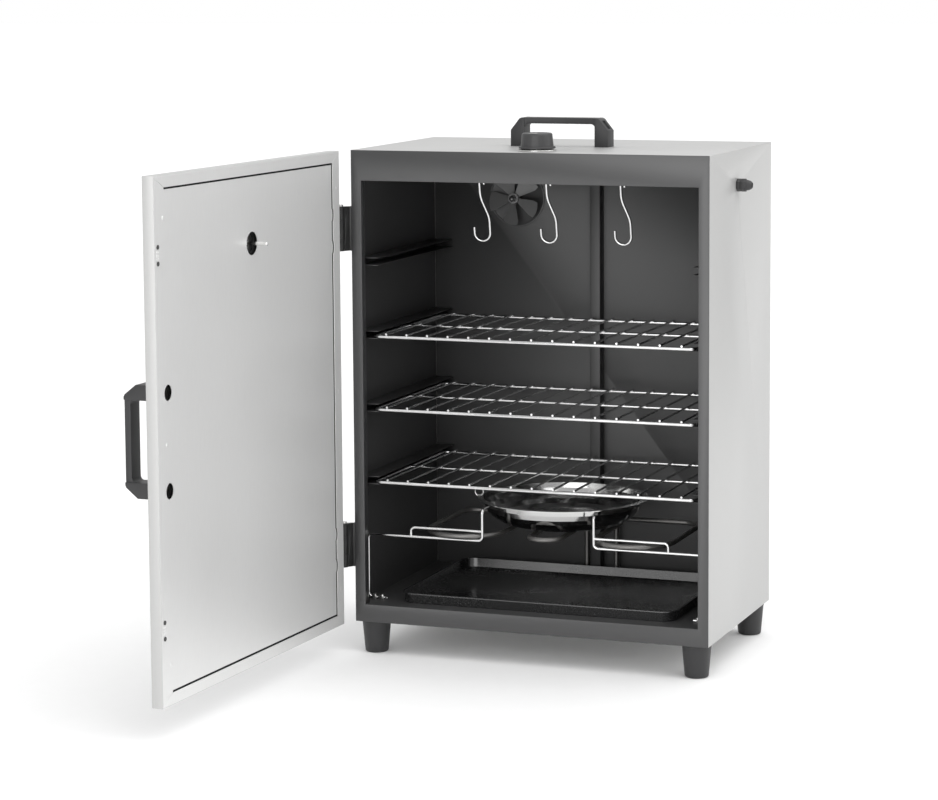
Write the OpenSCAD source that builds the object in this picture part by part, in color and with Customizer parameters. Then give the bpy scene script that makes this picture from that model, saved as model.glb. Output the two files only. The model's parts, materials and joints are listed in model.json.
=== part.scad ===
// Electric cabinet smoker with a water bowl over its heater, standing on four feet.
// +Z is up, +Y runs to the back, X runs across. The origin is on the floor, under the
// middle of the cabinet. All lengths are in millimetres and all angles in degrees.

/* [Cabinet] */
// Width of the cabinet across the front
cabinet_w = 500; // [420:5:640]
// Depth of the cabinet, front face to back panel
cabinet_d = 310; // [290:5:420]
// Height of the cabinet without its feet
cabinet_h = 645; // [600:5:860]
// Thickness of the sheet steel
sheet = 1.2; // [1:0.1:2]
// Width of the front frame's two upright jambs
jamb_w = 14.5; // [10:0.5:22]
// Height of the front frame's top fascia
fascia_h = 41; // [30:1:60]
// Height of the front frame's bottom sill, level with the chamber floor
sill_h = 24; // [18:1:36]
// Depth of the lip that returns into the chamber round the front frame
lip_d = 12; // [6:1:16]
// Distance from the top of the cabinet down to the ceiling's upper face
ceiling_drop = 29; // [24:1:36]

/* [Feet] */
// Height of each foot
foot_h = 44; // [25:1:80]
// Diameter of a foot where it meets the cabinet
foot_top_d = 40; // [30:1:48]
// Diameter of a foot where it stands on the floor
foot_bottom_d = 32; // [20:1:40]
// Distance from the cabinet's edges to the middle of a foot
foot_inset = 22; // [20:1:40]

/* [Racks] */
// Height of the lowest rack above the cabinet's underside
first_rack_h = 191; // [186:1:210]
// Height from one rack level to the next
rack_pitch = 100; // [80:1:110]
// Diameter of a rack's outline wire and its two long cross wires
rack_wire_d = 5; // [4:0.5:6]
// Diameter of a rack's front-to-back wires
rod_wire_d = 3; // [2.5:0.5:4]
// Number of front-to-back wires
rod_count = 15; // [9:2:21]
// Distance from the cabinet's side to the outside of a rack
rack_side_gap = 20; // [17:0.5:22]
// Distance from the front face to the front wire of a rack
rack_front_gap = 19; // [17:1:30]
// Distance from the back panel to the rear wire of a rack
rack_rear_gap = 29; // [24:1:40]
// How far a runner stands out from the side
runner_w = 27; // [24:0.5:30]
// Height of the slot that a rack slides in
runner_slot_h = 9; // [8:0.5:12]

/* [Drip tray] */
// Width of the drip tray
tray_w = 394; // [320:1:400]
// Height of the drip tray's walls
tray_h = 14; // [10:1:20]
// Distance from the front face to the drip tray
tray_front_gap = 24; // [16:1:34]
// Distance from the back panel to the drip tray
tray_rear_gap = 26; // [24:1:60]

/* [Heater] */
// Diameter of the tubular heater
heater_d = 7; // [6:0.5:8]
// Height of the heater above the cabinet's underside
heater_h = 120; // [100:1:135]
// Distance from the front face to the heater's rear run
heater_rear = 226; // [215:1:235]
// How far the wide bends reach forward through the guard's loops
heater_reach = 6; // [4:0.5:8]
// Radius of the two wide front bends
wide_bend_r = 54; // [44:1:58]
// Radius of the narrow bends
narrow_bend_r = 22; // [18:1:24]
// Distance between the two legs of the heater
leg_gap = 44; // [36:1:60]

/* [Water bowl] */
// Diameter of the bowl over its rim
bowl_d = 238; // [200:1:250]
// Depth of the bowl from rim to underside
bowl_h = 37; // [30:1:44]
// Diameter of the bowl's flat underside
bowl_base_d = 112; // [90:1:130]
// Width of the bowl's flat rim
bowl_rim_w = 8; // [5:1:10]
// Thickness of the bowl's metal
bowl_wall = 1; // [0.8:0.1:1.5]
// Distance from the front face to the middle of the bowl
bowl_centre = 148; // [140:1:155]

/* [Wire guard] */
// Diameter of the guard's wire
guard_wire_d = 4; // [3:0.5:5]
// Distance from the front face to the guard
guard_front = 40; // [36:1:46]
// Width of each loop that holds down a bend of the heater
guard_loop_w = 104; // [80:1:115]
// Height of each loop
guard_loop_h = 13; // [12:1:18]

/* [Hooks] */
// Diameter of the hanging rod
rod_d = 6; // [5:0.5:8]
// Distance from the front face to the hanging rod
rod_front = 104; // [90:1:150]
// Diameter of a hook's wire
hook_wire_d = 3.8; // [3:0.1:4.5]
// Length of a hook from the rod to the bottom of its curl
hook_length = 86; // [70:1:110]
// Where each hook hangs along the rod
hook_x = [-101, -5, 100];

/* [Fan] */
// Distance of the fan to the left of the middle
fan_offset = 123; // [60:1:150]
// Distance from the cabinet's top down to the middle of the fan
fan_down = 85; // [76:1:110]
// Diameter over the fan's blades
fan_d = 76; // [60:1:90]
// Number of fan blades
blade_count = 5; // [4:1:8]
// Twist of each blade
blade_twist = 28; // [15:1:40]
// Diameter of the motor's shaft
shaft_d = 5; // [4:0.5:6]

/* [Door] */
// Thickness of the door
door_t = 16; // [14:1:25]
// Gap between the closed door and the front frame
door_gap = 2; // [1.5:0.1:4]
// Angle that the door stands open at
door_open = 93; // [0:1:105]
// Distance from the cabinet's side to the hinge axis
hinge_out = 13; // [11:0.5:16]
// Distance from the front face to the hinge axis
hinge_ahead = 8; // [7.5:0.5:10]
// Height of a hinge
hinge_h = 60; // [48:1:80]
// Distance from the cabinet's top or underside to the nearer end of a hinge
hinge_margin = 76; // [50:1:120]
// Diameter of the hinge pins
hinge_pin_d = 6; // [4:0.5:7]
// Width of the door's return flange along the hinge side
flange_hinge = 20; // [16:1:30]
// Width of the door's return flange along the free side
flange_free = 25; // [20:1:35]
// Width of the door's return flange along the top and bottom
flange_end = 15; // [12:1:25]
// Gap between the return flanges and the inner door panel
panel_gap = 2.5; // [1:0.5:4]

/* [Handles] */
// Distance between the two screws of a handle
handle_pitch = 120; // [96:1:160]
// Width of a handle across its feet
handle_w = 26; // [20:1:30]
// Height of a handle above the panel
handle_h = 39; // [32:1:50]
// Distance from the front face to the middle of the top handle
top_handle_y = 148; // [120:1:180]
// Distance from the door's free edge to its handle screws
door_handle_inset = 28; // [24:1:40]

/* [Control knob] */
// Diameter of the control knob at its base
knob_d = 45; // [36:1:50]
// Height of the control knob
knob_h = 21; // [16:1:30]
// Distance from the front face to the middle of the knob
knob_y = 45; // [36:1:60]
// Diameter of the ring under the knob
bezel_d = 52; // [48:1:56]

/* [Thermometer] */
// Diameter of the thermometer's case
gauge_d = 60; // [50:1:76]
// Distance from the door's top down to the middle of the thermometer
gauge_down = 102; // [80:1:140]
// Diameter of the access hole behind the thermometer
gauge_hole_d = 30; // [24:1:36]
// Length of the stem behind the door
stem_l = 19; // [14:1:30]

/* [Cable gland] */
// Distance from the front face to the gland on the right side
gland_y = 135; // [80:1:200]
// Distance from the cabinet's top down to the middle of the gland
gland_down = 47; // [44:1:70]
// Diameter of the hole through the gland's rubber seal
cable_hole_d = 6; // [4:0.5:8]

/* [Hidden] */
$fn = 64;

// Clearances between pieces that fit together
slide_gap = 0.3;
running_gap = 0.05;
screw_clearance = 0.5;
hang_gap = 0.3;
thread_gap = 0.1;

// Faces of the cabinet
left_x = -cabinet_w / 2;
right_x = cabinet_w / 2;
front_y = -cabinet_d / 2;
back_y = cabinet_d / 2;
base_z = foot_h;
top_z = foot_h + cabinet_h;
floor_z = base_z + sill_h;
ceiling_z = top_z - ceiling_drop;
wall_x = right_x - sheet;
inner_front_y = front_y + sheet;
inner_back_y = back_y - sheet;
mouth_x = right_x - jamb_w;
mouth_top_z = top_z - fascia_h;

// Cabinet fasteners
m5 = 5;
m4 = 4;
pan_head_h = 2.6;

// Channel up the middle of the back panel
channel_w = 15;
channel_d = 19;
channel_z0 = floor_z + 3;
channel_z1 = ceiling_z - sheet - 1;

// Ring pressed into the back panel round the fan
fan_ring_r = fan_d / 2 + 4;
fan_ring_w = 3;
fan_ring_h = 1.5;

// Racks and runners
rack_x = right_x - rack_side_gap - rack_wire_d / 2;
rack_y0 = front_y + rack_front_gap;
rack_y1 = back_y - rack_rear_gap;
rack_corner_r = 10;
rod_end = 2;
rod_sink = 0.4;
rod_edge = rack_wire_d / 2 + 17;
runner_t = 1;
runner_y0 = front_y + 22;
runner_y1 = inner_back_y - 2;

// Drip tray
tray_wall = 1;
tray_corner_r = 22;
tray_bead_d = 3;
tray_y0 = front_y + tray_front_gap;
tray_y1 = back_y - tray_rear_gap;

// Heater path
heater_z = base_z + heater_h;
heater_x = 3;
arm_outer = 2 * wide_bend_r + 3 * narrow_bend_r;
arm_inner = 3 * narrow_bend_r;
leg_y = inner_back_y - 14;
leg_bend_r = 14;
heater_corner_r = 26;
heater_rear_y = front_y + heater_rear;
wide_front_y = front_y + guard_front - heater_reach;
narrow_front_y = wide_front_y + 10;
rear_turn_y = heater_rear_y - 14;
heater_plate_w = 70;
heater_plate_d = 16;
heater_plate_t = 2;

// Water bowl
bowl_y = front_y + bowl_centre;
bowl_z = heater_z + heater_d / 2 + slide_gap;
bowl_rim_z = bowl_z + bowl_h;
ring_wire_d = 2.4;
ring_r = 6;

// Wire guard
guard_y = front_y + guard_front;
guard_z = heater_z - heater_d / 2 - guard_wire_d / 2 - slide_gap;
guard_side_x = wall_x - guard_wire_d / 2 - 0.4;
guard_foot_z = floor_z + guard_wire_d / 2;
bend_clear = 1;
bend_behind = wide_bend_r - heater_reach - guard_wire_d / 2;
bend_half_w = sqrt(pow(wide_bend_r + heater_d / 2, 2) - pow(bend_behind, 2));
guard_upright = arm_inner + wide_bend_r - heater_x - bend_half_w - guard_wire_d / 2 - bend_clear;
guard_foot_l = 28;
guard_bend_r = 6;
guard_top_z = bowl_rim_z - bowl_wall - guard_wire_d / 2 - slide_gap;
finger_y = bowl_y - sqrt(pow(bowl_d / 2 - bowl_rim_w, 2) - pow(guard_upright, 2)) - guard_wire_d;
clip_x = [9, 20];
clip_w = 5.5;
clip_d = 9;
clip_h = 3;

// Hooks
rod_y = front_y + rod_front;
curl_r = 9;
curl_drop = curl_r - hook_wire_d / 2 - rod_d / 2 - hang_gap;
rod_z = ceiling_z - sheet - curl_r + curl_drop - hook_wire_d / 2 - 5;
hook_lean = 9.3;
low_curl_r = 11.3;
hook_swing_r = 40;
socket_d = rod_d + 8;
socket_l = 9;
socket_depth = 6;

// Fan, its motor and the cover behind the back panel
fan_x = -fan_offset;
fan_z = top_z - fan_down;
fan_y = inner_back_y - 12;
blade_t = 0.8;
hub_d = 15;
hub_l = 9;
fan_nut_d = 10;
motor_d = 60;
motor_l = 28;
motor_cover_w = 96;
motor_cover_d = 44;
cover_wall = 1.2;
cover_flange = 12;
shaft_l = 46;

// Door in its closed place, swung about the hinge axis
hinge_x = left_x - hinge_out;
hinge_y = front_y - hinge_ahead;
door_in_y = front_y - door_gap;
door_out_y = door_in_y - door_t;
door_sheet = 1;
door_x0 = left_x;
door_x1 = right_x;
panel_x0 = door_x0 + flange_hinge + panel_gap;
panel_x1 = door_x1 - flange_free + 9;
panel_z0 = base_z + flange_end + panel_gap;
panel_z1 = top_z - flange_end - panel_gap;
door_handle_x = door_x1 - door_handle_inset;
door_handle_z = (base_z + top_z) / 2;
access_hole_d = 20;
magnet_z = [base_z + 95, top_z - 95];
magnet_x = door_x1 - 8;
magnet_w = 9;
magnet_h = 30;
magnet_t = 6;
rivet_d = 3.2;
rivet_pitch = 20;

// Hinges
barrel_d = 12;
leaf_t = 3;
leaf_w = 28;
knuckle_gap = 0.4;
middle_knuckle = hinge_h * 0.4;
hinge_z = [base_z + hinge_margin + hinge_h / 2, top_z - hinge_margin - hinge_h / 2];
pin_head_h = 2.5;

// Bridge handles
handle_foot = 19;
handle_grip_t = 8;
handle_shoulder = 17;
handle_screw_depth = 14;
handle_end_slot = 12;

// Control under the top panel
control_w = 48;
control_h = ceiling_drop - 2 * sheet - 4;
control_z0 = top_z - sheet - control_h;
spindle_z0 = control_z0 + 4;
spindle_d = 6;
bezel_t = 2;
knob_lift = 1;

// Thermometer
gauge_x = (door_x0 + door_x1) / 2;
gauge_z = top_z - gauge_down;
gauge_t = 14;
gauge_wall = 1.2;
gauge_floor_t = 3;
glass_t = 1.5;
glass_setback = 1;
dial_t = 0.8;
pointer_t = 0.8;
pointer_l = gauge_d / 2 - 8;
post_d = 2;
stem_d = 5;
stem_thread_d = 9;
gauge_nut_af = 14;
gauge_nut_h = 5;

// Cable gland
gland_thread_d = 12;
gland_hex = 15;
gland_hex_t = 5;
gland_cap_d = 14;
gland_cap_l = 15;
gland_z = top_z - gland_down;
gland_py = front_y + gland_y;
seal_l = 8;
seal_d = 9;
locknut_t = 4;

// ---------- helpers ----------

function unit(v) = v / norm(v);

// Angle that a wire turns through at the middle one of three points
function turn(a, b, c) = acos(max(-1, min(1, unit(b - a) * unit(c - b))));

// Length that a bend of radius r takes off the straight on each side of a corner
function trim(a, b, c, r) = r * tan(turn(a, b, c) / 2);

module box(low, high) {
    translate(low) cube(high - low);
}

// Straight round bar from point a to point b
module bar(a, b, d) {
    v = b - a;
    l = norm(v);
    translate(a)
        rotate([0, acos(v[2] / l), atan2(v[1], v[0])])
            cylinder(h = l, d = d);
}

// Middle of the bend of radius r at corner b, on the way from a to c
function bend_middle(a, b, c, r) =
    b + unit(unit(c - b) - unit(b - a)) * r / cos(turn(a, b, c) / 2);

// Direction from the middle of that bend to where it ends
function bend_end(a, b, c, r) =
    unit(b + unit(c - b) * trim(a, b, c, r) - bend_middle(a, b, c, r));

// Draws its children with their x, y and z axes along x, y and z and their origin at o
module axes(x, y, z, o) {
    multmatrix([
        [x[0], y[0], z[0], o[0]],
        [x[1], y[1], z[1], o[1]],
        [x[2], y[2], z[2], o[2]],
        [0, 0, 0, 1]
    ])
        children();
}

// Round bend of radius r at corner b, on the way from a to c
module bend(a, b, c, d, r) {
    go = unit(b - a);
    middle = bend_middle(a, b, c, r);
    out = unit(b - go * trim(a, b, c, r) - middle);
    axes(out, go, cross(out, go), middle)
        rotate_extrude(angle = turn(a, b, c))
            translate([r, 0]) circle(d = d);
}

// Wire of diameter d through a list of points, with one bend radius for each corner.
// A swell over 0 puts a short collar that much wider than the wire at both ends of each bend.
module wire(p, d, r, swell = 0) {
    last = len(p) - 1;
    for (i = [1 : last - 1]) bend(p[i - 1], p[i], p[i + 1], d, r[i - 1]);
    for (i = [0 : last - 1]) {
        go = unit(p[i + 1] - p[i]);
        a = i == 0 ? p[i] : p[i] + go * trim(p[i - 1], p[i], p[i + 1], r[i - 1]);
        b = i == last - 1 ? p[i + 1] : p[i + 1] - go * trim(p[i], p[i + 1], p[i + 2], r[i]);
        side = i == 0
            ? unit(p[1] - go * trim(p[0], p[1], p[2], r[0]) - bend_middle(p[0], p[1], p[2], r[0]))
            : bend_end(p[i - 1], p[i], p[i + 1], r[i - 1]);
        if (norm(b - a) > 0.02)
            axes(side, cross(go, side), go, a) cylinder(h = norm(b - a), d = d);
        if (swell > 0 && i > 0)
            axes(side, cross(go, side), go, a - go * 0.3) cylinder(h = 0.6, d = d + swell);
        if (swell > 0 && i < last - 1 && norm(b - a) > 0.02)
            axes(side, cross(go, side), go, b - go * 0.3) cylinder(h = 0.6, d = d + swell);
    }
}

// Flat plate with round corners, its lower face at z = 0
module round_plate(w, d, t, r) {
    linear_extrude(t)
        union() {
            square([w - 2 * r, d], center = true);
            square([w, d - 2 * r], center = true);
            for (x = [-1, 1], y = [-1, 1])
                translate([x * (w / 2 - r), y * (d / 2 - r)]) circle(r);
        }
}

// Pan-head screw, its head above z = 0 and its shank below
module pan_screw(d, l) {
    rotate_extrude()
        polygon([
            [0, -l], [d / 2, -l], [d / 2, 0], [d * 0.95, 0],
            [d * 0.95, pan_head_h * 0.45], [d * 0.6, pan_head_h], [0, pan_head_h]
        ]);
}

// Everything on the door is drawn closed and then swung open
module on_door() {
    translate([hinge_x, hinge_y, 0])
        rotate([0, 0, -door_open])
            translate([-hinge_x, -hinge_y, 0])
                children();
}

// ---------- cabinet ----------

module side_panel() {
    box([-right_x, inner_front_y, base_z], [-wall_x, back_y, top_z - sheet]);
}

module side_left() color("dimgray")
    difference() {
        side_panel();
        hinge_screw_places() translate([0, 0, -20]) cylinder(h = 40, d = m4 + screw_clearance);
    }

module side_right() color("silver")
    difference() {
        mirror([1, 0, 0]) side_panel();
        translate([wall_x - 1, gland_py, gland_z])
            rotate([0, 90, 0]) cylinder(h = sheet + 2, d = gland_thread_d + 2 * thread_gap);
    }

module top_panel() color("silver")
    difference() {
        box([left_x, inner_front_y, top_z - sheet], [right_x, back_y, top_z]);
        for (x = [-1, 1])
            translate([x * handle_pitch / 2, front_y + top_handle_y, top_z - 10])
                cylinder(h = 20, d = m5 + screw_clearance);
        translate([0, front_y + knob_y, top_z - 10]) cylinder(h = 20, d = spindle_d + 4);
    }

module back_panel() color("dimgray")
    difference() {
        union() {
            box([-wall_x, inner_back_y, base_z], [wall_x, back_y, top_z - sheet]);
            translate([fan_x, inner_back_y + 0.2, fan_z])
                rotate([90, 0, 0])
                    difference() {
                        cylinder(h = fan_ring_h + 0.2, r = fan_ring_r);
                        translate([0, 0, -1])
                            cylinder(h = fan_ring_h + 3, r = fan_ring_r - fan_ring_w);
                    }
        }
        translate([fan_x, back_y + 10, fan_z])
            rotate([90, 0, 0]) cylinder(h = 30, d = shaft_d + 4);
    }

module base_panel() color("dimgray")
    difference() {
        box([-wall_x, inner_front_y, base_z], [wall_x, inner_back_y, base_z + sheet]);
        foot_places() translate([0, 0, -10]) cylinder(h = 30, d = m5 + screw_clearance);
    }

module floor_panel() color("dimgray")
    difference() {
        box([-wall_x, inner_front_y, floor_z - sheet], [wall_x, inner_back_y, floor_z]);
        leg_places()
            translate([0, 0, floor_z - 10]) cylinder(h = 20, d = heater_d + 1);
    }

module ceiling_panel() color("dimgray")
    box([-wall_x, inner_front_y, ceiling_z - sheet], [wall_x, inner_back_y, ceiling_z]);

module front_frame() color("dimgray")
    union() {
        difference() {
            box([left_x, front_y, base_z], [right_x, inner_front_y, top_z]);
            box([-mouth_x, front_y - 1, floor_z], [mouth_x, inner_front_y + 1, mouth_top_z]);
        }
        difference() {
            box([-mouth_x - sheet, front_y, floor_z],
                [mouth_x + sheet, inner_front_y + lip_d, mouth_top_z + sheet]);
            box([-mouth_x, front_y - 1, floor_z - 1],
                [mouth_x, inner_front_y + lip_d + 1, mouth_top_z]);
        }
    }

module back_channel() color("gray")
    difference() {
        box([-channel_w / 2, inner_back_y - channel_d, channel_z0],
            [channel_w / 2, inner_back_y, channel_z1]);
        box([-channel_w / 2 + sheet, inner_back_y - channel_d + sheet, channel_z0 - 1],
            [channel_w / 2 - sheet, inner_back_y + 1, channel_z1 + 1]);
    }

// Height of the middle of a rack's outline wire at level n, counted from 0
function level_z(n) = base_z + first_rack_h + n * rack_pitch;

module runner(n) {
    shelf_z = level_z(n) - rack_wire_d / 2 - slide_gap;
    difference() {
        box([wall_x - runner_w, runner_y0, shelf_z - runner_t],
            [wall_x, runner_y1, shelf_z + runner_slot_h + runner_t]);
        box([wall_x - runner_w - 1, runner_y0 - 1, shelf_z],
            [wall_x - runner_t, runner_y1 + 1, shelf_z + runner_slot_h]);
    }
}

module runners(n) color("dimgray")
    for (side = [0, 1]) mirror([side, 0, 0]) runner(n);

// ---------- feet ----------

function foot_xy(side, end) = [side * (right_x - foot_inset), end * (back_y - foot_inset), 0];

module foot_places() {
    for (side = [-1, 1], end = [-1, 1])
        translate(foot_xy(side, end) + [0, 0, base_z]) children();
}

module foot(side, end) color("black")
    translate(foot_xy(side, end))
        difference() {
            rotate_extrude()
                polygon([
                    [0, 0], [foot_bottom_d / 2 - 1.5, 0], [foot_bottom_d / 2, 1.5],
                    [foot_top_d / 2 - 0.5, foot_h - 3], [foot_top_d / 2, foot_h - 3],
                    [foot_top_d / 2, foot_h], [0, foot_h]
                ]);
            translate([0, 0, foot_h - 14]) cylinder(h = 20, d = m5 + 2 * thread_gap);
        }

module foot_screws() color("silver")
    foot_places() translate([0, 0, sheet]) pan_screw(m5, 12);

// ---------- racks, tray and bowl ----------

module rack(n) color("gainsboro")
    translate([0, 0, level_z(n)]) {
        middle_y = (rack_y0 + rack_y1) / 2;
        step = 2 * (rack_x - rod_edge) / (rod_count - 1);
        wire([[0, rack_y0, 0], [rack_x, rack_y0, 0], [rack_x, rack_y1, 0],
              [-rack_x, rack_y1, 0], [-rack_x, rack_y0, 0], [0, rack_y0, 0]],
             rack_wire_d, [for (i = [1 : 4]) rack_corner_r]);
        bar([-rack_x, middle_y, 0], [rack_x, middle_y, 0], rack_wire_d - 1);
        for (i = [0 : rod_count - 1])
            bar([-rack_x + rod_edge + i * step, rack_y0 - rod_end,
                 (rack_wire_d + rod_wire_d) / 2 - rod_sink],
                [-rack_x + rod_edge + i * step, rack_y1 + rod_end,
                 (rack_wire_d + rod_wire_d) / 2 - rod_sink],
                rod_wire_d);
    }

module drip_tray() color("#303030")
    translate([0, (tray_y0 + tray_y1) / 2, floor_z + slide_gap]) {
        depth = tray_y1 - tray_y0;
        bead = tray_bead_d;
        difference() {
            union() {
                round_plate(tray_w - 2 * bead, depth - 2 * bead, tray_h, tray_corner_r - bead);
                translate([0, 0, tray_h - bead * 0.7])
                    round_plate(tray_w, depth, bead * 0.7, tray_corner_r);
            }
            translate([0, 0, tray_wall])
                round_plate(tray_w - 2 * bead - 2 * tray_wall, depth - 2 * bead - 2 * tray_wall,
                            tray_h, tray_corner_r - bead - tray_wall);
        }
    }

// Half section of the bowl: flat base, curved side and flat rim
function bowl_side(extra) = [
    for (i = [0 : 8])
        let (t = i / 8, w = bowl_d / 2 - bowl_rim_w - bowl_base_d / 2)
        [bowl_base_d / 2 + w * sin(90 * t) + extra, bowl_h * (1 - cos(90 * t))]
];

module water_bowl() color("gainsboro")
    translate([0, bowl_y, bowl_z]) {
        rotate_extrude($fn = 96)
            polygon(concat(
                [[0, 0]],
                bowl_side(0),
                [[bowl_d / 2, bowl_h], [bowl_d / 2, bowl_h + bowl_wall],
                 [bowl_d / 2 - bowl_rim_w - bowl_wall, bowl_h + bowl_wall]],
                [for (i = [7 : -1 : 0]) bowl_side(-bowl_wall)[i] + [0, bowl_wall]],
                [[0, bowl_wall]]
            ));
        translate([-bowl_d / 2 - ring_r + 1.5, 0, bowl_h + bowl_wall / 2])
            rotate([90, 0, 0])
                rotate_extrude() translate([ring_r, 0]) circle(d = ring_wire_d);
    }

// ---------- heater and guard ----------

function leg_x(side) = heater_x + 5 + side * leg_gap / 2;

module leg_places() {
    for (side = [-1, 1]) translate([leg_x(side), leg_y, 0]) children();
}

// One continuous tube: up a leg, forward, round the serpentine and back down the other leg
module heater() color("#505050") {
    left = heater_x - arm_outer;
    right = heater_x + arm_outer;
    x1 = heater_x - arm_inner;
    x2 = heater_x - narrow_bend_r;
    x3 = heater_x + narrow_bend_r;
    x4 = heater_x + arm_inner;
    z = heater_z;
    foot_z = base_z + sheet + 4;
    wire([
        [leg_x(-1), leg_y, foot_z], [leg_x(-1), leg_y, z], [leg_x(-1), heater_rear_y, z],
        [left, heater_rear_y, z], [left, wide_front_y, z], [x1, wide_front_y, z],
        [x1, rear_turn_y, z], [x2, rear_turn_y, z],
        [x2, narrow_front_y, z], [x3, narrow_front_y, z],
        [x3, rear_turn_y, z], [x4, rear_turn_y, z],
        [x4, wide_front_y, z], [right, wide_front_y, z], [right, heater_rear_y, z],
        [leg_x(1), heater_rear_y, z], [leg_x(1), leg_y, z], [leg_x(1), leg_y, foot_z]
    ], heater_d, [
        leg_bend_r, leg_bend_r,
        heater_corner_r, wide_bend_r, wide_bend_r,
        narrow_bend_r, narrow_bend_r, narrow_bend_r, narrow_bend_r, narrow_bend_r, narrow_bend_r,
        wide_bend_r, wide_bend_r, heater_corner_r,
        leg_bend_r, leg_bend_r
    ]);
}

module heater_plate() color("silver")
    difference() {
        translate([heater_x + 5, leg_y, floor_z])
            round_plate(heater_plate_w, heater_plate_d, heater_plate_t, 4);
        leg_places() translate([0, 0, floor_z - 1])
            cylinder(h = heater_plate_t + 2, d = heater_d + 2 * thread_gap);
    }

module guard_half() {
    x = guard_side_x;
    u = guard_upright;
    wire([
        [x - guard_foot_l, guard_y, guard_foot_z], [x, guard_y, guard_foot_z],
        [x, guard_y, guard_z], [u, guard_y, guard_z],
        [u, guard_y, guard_top_z], [u, finger_y, guard_top_z]
    ], guard_wire_d, [for (i = [1 : 4]) guard_bend_r]);
    wire([
        [u + guard_loop_w, guard_y, guard_z],
        [u + guard_loop_w, guard_y, guard_z + guard_loop_h],
        [u, guard_y, guard_z + guard_loop_h]
    ], guard_wire_d, [guard_bend_r]);
}

module bowl_guard() color("gainsboro")
    for (side = [0, 1]) mirror([side, 0, 0]) guard_half();

// Two bridge clips on each foot of the guard
module guard_clips() color("silver")
    for (side = [0, 1], c = clip_x)
        mirror([side, 0, 0])
            translate([guard_side_x - c, guard_y, floor_z])
                difference() {
                    translate([-clip_w / 2, -clip_d / 2, 0])
                        cube([clip_w, clip_d, guard_wire_d + clip_h]);
                    translate([-clip_w, -guard_wire_d / 2 - thread_gap, -1])
                        cube([2 * clip_w, guard_wire_d + 2 * thread_gap,
                              guard_wire_d + 1 + thread_gap]);
                }

// ---------- hanging rod and hooks ----------

module hanging_rod() color("gainsboro")
    bar([-wall_x + socket_l - socket_depth, rod_y, rod_z],
        [wall_x - socket_l + socket_depth, rod_y, rod_z], rod_d);

module rod_sockets() color("dimgray")
    for (side = [0, 1])
        mirror([side, 0, 0])
            translate([wall_x, rod_y, rod_z])
                rotate([0, -90, 0])
                    difference() {
                        cylinder(h = socket_l, d = socket_d);
                        translate([0, 0, socket_l - socket_depth])
                            cylinder(h = socket_depth + 1, d = rod_d + 2 * thread_gap);
                    }

// S-hook: an upper curl round the rod, a shank that leans back under it, a lower curl
module hook(x) color("gainsboro")
    translate([x, rod_y, rod_z]) {
        c = -curl_drop;
        d = hook_wire_d;
        out = trim([0, curl_r, 0], [0, 0, 0], [0, sin(hook_lean), -cos(hook_lean)], curl_r);
        front = [0, -out, c + curl_r];
        down = [0, sin(hook_lean), -cos(hook_lean)];
        along = (c + curl_r + hook_length) / cos(hook_lean);
        side = [1, 0, 0];
        wire([
            [0, curl_r, c - curl_r * 0.6], [0, curl_r, c + curl_r], front,
            front + down * (along * 0.33),
            front + down * (along * 0.64) + side * low_curl_r,
            front + down * along + side * low_curl_r,
            front + down * along - side * low_curl_r,
            front + down * (along - low_curl_r * 1.7) - side * low_curl_r
        ], d, [curl_r, curl_r, hook_swing_r, hook_swing_r, low_curl_r, low_curl_r], 0.04);
    }

// ---------- fan ----------

module fan_blade() {
    rotate([0, 0, blade_twist])
        translate([0, blade_t / 2, 0])
            rotate([90, 0, 0])
                linear_extrude(blade_t) {
                    polygon([[-3, hub_d / 2 - 3], [3, hub_d / 2 - 3],
                             [fan_d * 0.19, fan_d / 2 - 9], [-fan_d * 0.19, fan_d / 2 - 9]]);
                    intersection() {
                        circle(d = fan_d);
                        translate([-fan_d * 0.19, fan_d / 2 - 9.5])
                            square([fan_d * 0.38, 12]);
                    }
                }
}

module fan_rotor() color("silver")
    translate([fan_x, fan_y, fan_z])
        difference() {
            union() {
                for (i = [0 : blade_count - 1])
                    rotate([0, i * 360 / blade_count + 45, 0]) fan_blade();
                translate([0, hub_l / 2, 0])
                    rotate([90, 0, 0]) cylinder(h = hub_l, d = hub_d);
            }
            translate([0, 30, 0])
                rotate([90, 0, 0]) cylinder(h = 60, d = shaft_d + 2 * thread_gap);
        }

module fan_shaft() color("dimgray")
    translate([fan_x, fan_y - hub_l / 2, fan_z])
        rotate([-90, 0, 0]) {
            translate([0, 0, -4]) cylinder(h = shaft_l + 4, d = shaft_d);
            translate([0, 0, -5]) cylinder(h = 4.8, d = fan_nut_d, $fn = 6);
            translate([0, 0, -5])
                intersection() {
                    sphere(d = fan_nut_d * 0.86);
                    translate([0, 0, -10]) cylinder(h = 10.5, d = fan_nut_d * 0.86);
                }
        }

module fan_motor() color("gray")
    translate([fan_x, back_y + 4, fan_z])
        rotate([-90, 0, 0])
            difference() {
                union() {
                    cylinder(h = motor_l, d = motor_d);
                    for (a = [0 : 120 : 359])
                        rotate([0, 0, a]) translate([motor_d / 2 - 5, 0, -4])
                            cylinder(h = 6, d = 8);
                }
                translate([0, 0, -1]) cylinder(h = motor_l + 2, d = shaft_d + 2 * running_gap);
            }

module motor_cover() color("dimgray")
    translate([fan_x, back_y, fan_z])
        rotate([-90, 0, 0])
            difference() {
                union() {
                    round_plate(motor_cover_w, motor_cover_w, motor_cover_d, 10);
                    round_plate(motor_cover_w + 2 * cover_flange, motor_cover_w, cover_wall, 4);
                }
                translate([0, 0, -1])
                    round_plate(motor_cover_w - 2 * cover_wall, motor_cover_w - 2 * cover_wall,
                                motor_cover_d - cover_wall + 1, 10 - cover_wall);
                for (i = [-3 : 3])
                    translate([-30, i * 9 - 1.5, motor_cover_d - 5]) cube([60, 3, 10]);
            }

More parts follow.
